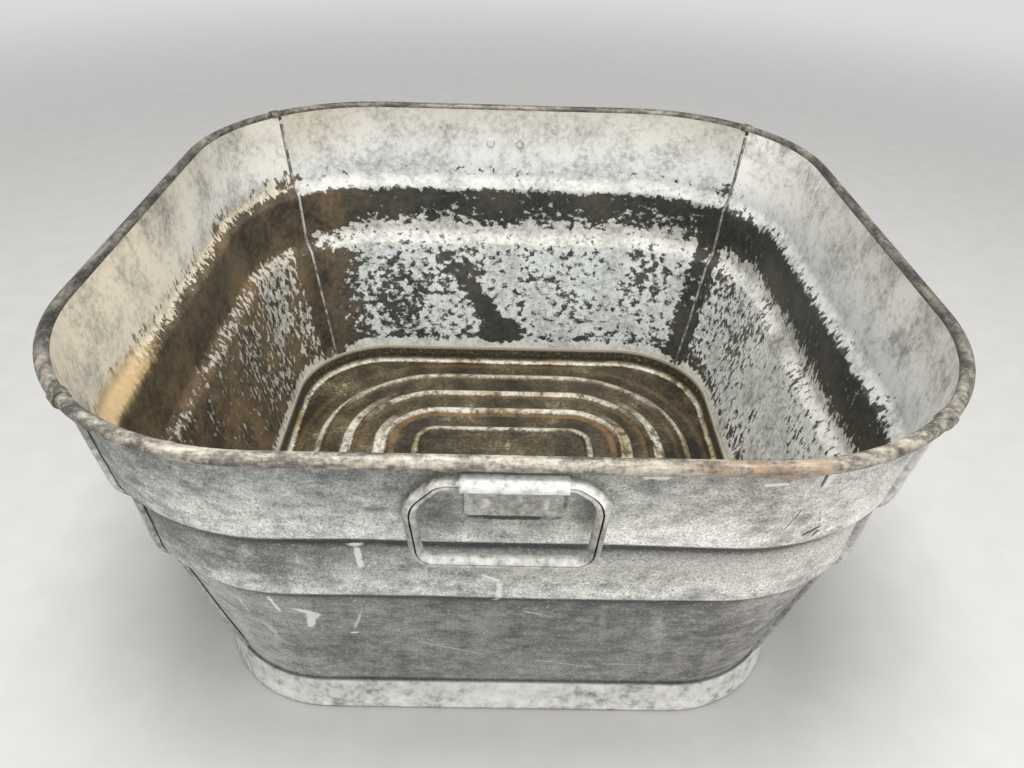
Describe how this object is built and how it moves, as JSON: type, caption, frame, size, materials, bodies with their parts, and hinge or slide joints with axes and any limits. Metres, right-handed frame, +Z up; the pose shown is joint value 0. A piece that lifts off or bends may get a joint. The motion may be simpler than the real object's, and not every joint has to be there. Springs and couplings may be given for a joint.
{
  "type": "washing tub",
  "caption": "Square tapered wash tub in galvanised sheet, with stepped walls, lock-seamed corners, a wired rim, a ribbed floor, a foot band and swinging drop handles.",
  "frame": {"origin": "middle of the foot, on the ground", "axes": "+Z up, handles on the -Y (front) and +Y (back) sides, +X to the right"},
  "size_m": [0.5334, 0.5352, 0.282],
  "materials": {
    "galvanised_wall": "weathered hot-dip zinc, dull, mottled and stained",
    "rim_wire_steel": "bare drawn steel wire",
    "stained_pan": "zinc under brown water stain, worn pale on the ribs",
    "galvanised_foot": "weathered hot-dip zinc, rubbed pale",
    "galvanised_fittings": "weathered hot-dip zinc, rubbed pale by use"
  },
  "bodies": {
    "tub": {"front_wall": "galvanised_wall", "right_wall": "galvanised_wall", "back_wall": "galvanised_wall", "left_wall": "galvanised_wall", "rim_wire": "rim_wire_steel", "bottom_pan": "stained_pan", "foot_band": "galvanised_foot", "front_ear": "galvanised_fittings", "back_ear": "galvanised_fittings", "front_ear_rivets": "galvanised_fittings", "back_ear_rivets": "galvanised_fittings"},
    "front_handle": {"front_handle": "galvanised_fittings"},
    "back_handle": {"back_handle": "galvanised_fittings"}
  },
  "joints": [
    {"name": "front_handle_swing", "type": "hinge", "parent": "tub", "child": "front_handle", "pos_m": [0, -0.26281, 0.266], "axis": [-1, 0, 0], "range_deg": [-8, 135]},
    {"name": "back_handle_swing", "type": "hinge", "parent": "tub", "child": "back_handle", "pos_m": [0, 0.26281, 0.266], "axis": [1, 0, 0], "range_deg": [-8, 135]}
  ]
}
